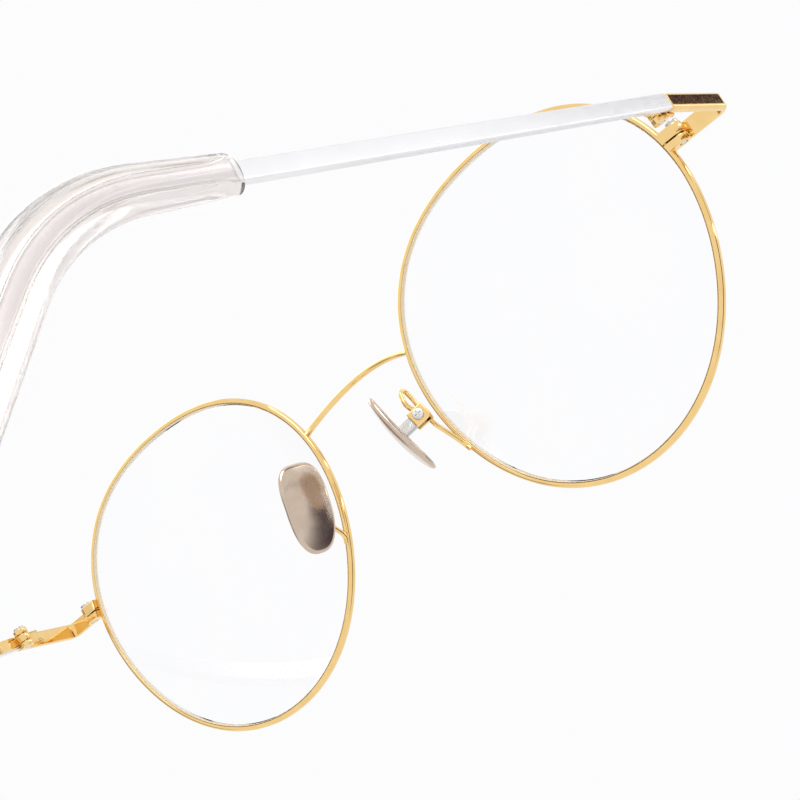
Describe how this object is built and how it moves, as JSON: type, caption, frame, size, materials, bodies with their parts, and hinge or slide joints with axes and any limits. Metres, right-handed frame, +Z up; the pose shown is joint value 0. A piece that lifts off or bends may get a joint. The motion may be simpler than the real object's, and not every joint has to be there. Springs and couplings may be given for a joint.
{
  "type": "eyeglasses",
  "caption": "Round thin metal eyeglasses with a wire bridge, rocking nose pads on wire arms, and temples that fold on screw hinges.",
  "frame": {"origin": "on the table under the middle of the open glasses' bounding box", "axes": "+Z up, +Y rearwards along the temples towards the ears, +X to the wearer's left"},
  "size_m": [0.1336, 0.1486, 0.0476],
  "materials": {
    "gold": "polished gold plating",
    "silver": "bright satin titanium",
    "titanium": "polished champagne titanium",
    "steel": "satin",
    "lens": "clear demo lens",
    "tip": "translucent brown"
  },
  "bodies": {
    "front": {"bridge": "gold", "left_rim": "gold", "left_lens": "lens", "left_endpiece": "gold", "left_upper_closing_barrel": "gold", "left_lower_closing_barrel": "gold", "left_closing_screw": "steel", "left_front_hinge": "gold", "left_hinge_screw": "steel", "left_pad_arm": "gold", "left_pad_box": "gold", "left_pad_screw": "steel", "right_rim": "gold", "right_lens": "lens", "right_endpiece": "gold", "right_upper_closing_barrel": "gold", "right_lower_closing_barrel": "gold", "right_closing_screw": "steel", "right_front_hinge": "gold", "right_hinge_screw": "steel", "right_pad_arm": "gold", "right_pad_box": "gold", "right_pad_screw": "steel"},
    "left_temple": {"left_temple": "silver", "left_temple_hinge": "gold", "left_temple_tip": "tip"},
    "left_pad": {"left_nose_pad": "titanium", "left_pad_lug": "steel"},
    "right_temple": {"right_temple": "silver", "right_temple_hinge": "gold", "right_temple_tip": "tip"},
    "right_pad": {"right_nose_pad": "titanium", "right_pad_lug": "steel"}
  },
  "joints": [
    {"name": "left_temple_fold", "type": "hinge", "parent": "front", "child": "left_temple", "pos_m": [0.06291, -0.05556, 0.03181], "axis": [0, 0.0186, 0.9998], "range_deg": [0, 86.2]},
    {"name": "right_temple_fold", "type": "hinge", "parent": "front", "child": "right_temple", "pos_m": [-0.06291, -0.05556, 0.03181], "axis": [0, -0.0186, -0.9998], "range_deg": [0, 79.2]},
    {"name": "left_pad_rock", "type": "hinge", "parent": "front", "child": "left_pad", "pos_m": [0.012, -0.06125, 0.02202], "axis": [0.4837, 0.8568, 0.1786], "range_deg": [-10, 10]},
    {"name": "right_pad_rock", "type": "hinge", "parent": "front", "child": "right_pad", "pos_m": [-0.012, -0.06125, 0.02202], "axis": [-0.4837, 0.8568, 0.1786], "range_deg": [-10, 10]}
  ]
}
